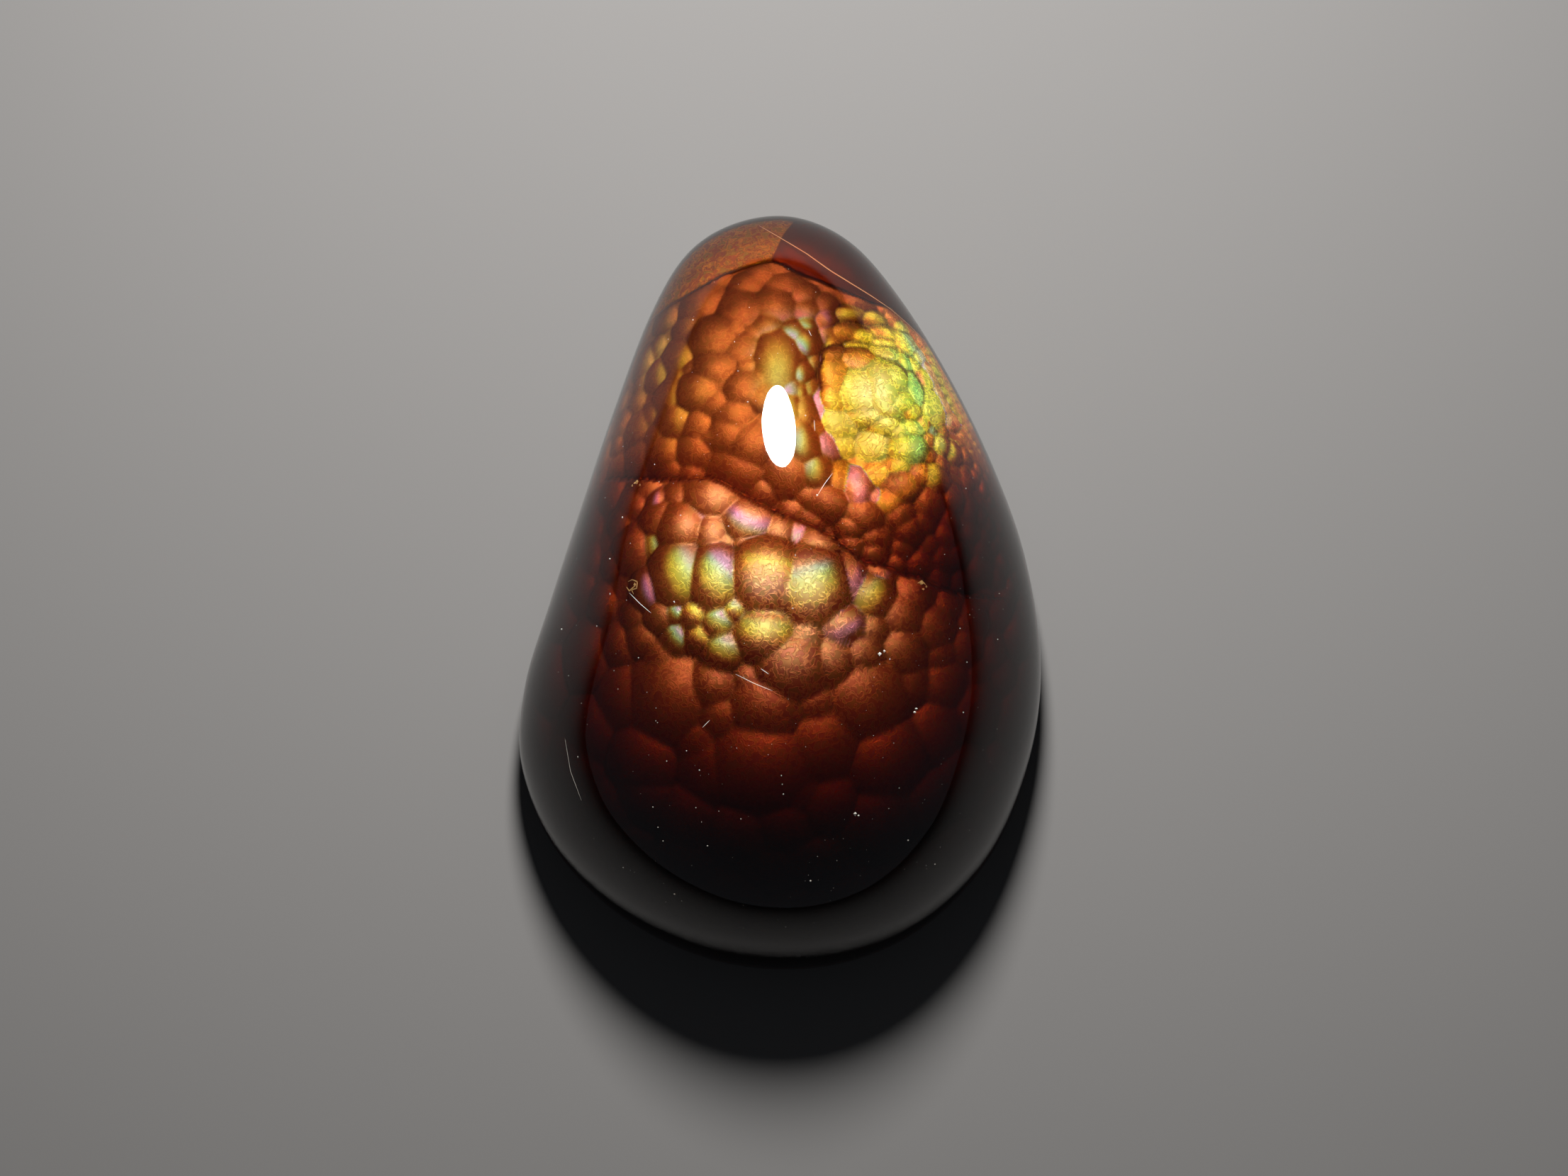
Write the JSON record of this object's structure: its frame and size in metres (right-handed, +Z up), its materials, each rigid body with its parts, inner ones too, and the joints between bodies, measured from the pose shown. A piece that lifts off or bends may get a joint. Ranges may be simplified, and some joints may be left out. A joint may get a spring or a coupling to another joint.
{
  "type": "fire agate cabochon",
  "caption": "Teardrop gemstone with a high polished dome over a lumpy iridescent layer and a flat ground back, to rest on a surface or to be set in jewellery.",
  "frame": {"origin": "middle of the stone's bounding box as seen from above, on the flat back that it rests on", "axes": "+Z up out of the flat back towards the dome, +Y along the stone towards its narrow tip, +X to the right with the tip pointing away"},
  "size_m": [0.0146, 0.021, 0.0076],
  "materials": {
    "polished_agate": "mirror polished dome, clear brown over a bubbly layer that shines copper, gold and green; matt ground back"
  },
  "bodies": {
    "root": {"fire_agate": "polished_agate"}
  },
  "joints": []
}
